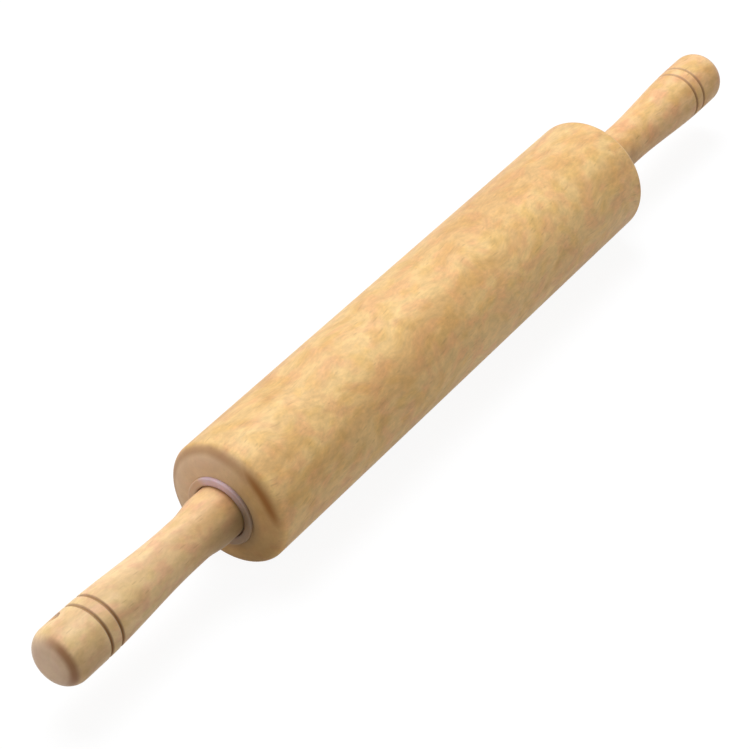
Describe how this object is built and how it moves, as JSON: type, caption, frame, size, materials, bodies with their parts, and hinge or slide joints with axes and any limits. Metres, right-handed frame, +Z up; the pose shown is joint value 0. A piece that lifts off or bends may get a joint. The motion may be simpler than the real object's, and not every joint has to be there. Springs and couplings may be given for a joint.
{
  "type": "rolling pin",
  "caption": "Turned wooden rolling pin: a thick barrel with rounded ends spins on a steel axle between two grooved handles.",
  "frame": {"origin": "on the surface the pin lies on, under the middle of the barrel", "axes": "+X along the pin towards the far handle, +Z up from the surface; the near handle, with the hanging hole, is at -X"},
  "size_m": [0.433, 0.05, 0.0499],
  "materials": {
    "barrel_wood": "sanded, unvarnished",
    "handle_wood": "sanded, unvarnished",
    "bush_nylon": "moulded, satin",
    "axle_steel": "turned",
    "washer_steel": "stamped",
    "insert_brass": "machined"
  },
  "bodies": {
    "handles": {"near_handle": "handle_wood", "far_handle": "handle_wood", "axle": "axle_steel", "near_thrust_washer": "washer_steel", "far_thrust_washer": "washer_steel", "near_threaded_insert": "insert_brass", "far_threaded_insert": "insert_brass"},
    "barrel": {"barrel": "barrel_wood", "near_bush": "bush_nylon", "far_bush": "bush_nylon"}
  },
  "joints": [
    {"name": "barrel_spin", "type": "hinge", "parent": "handles", "child": "barrel", "pos_m": [0, 0, 0.02496], "axis": [1, 0, 0], "continuous": true}
  ]
}
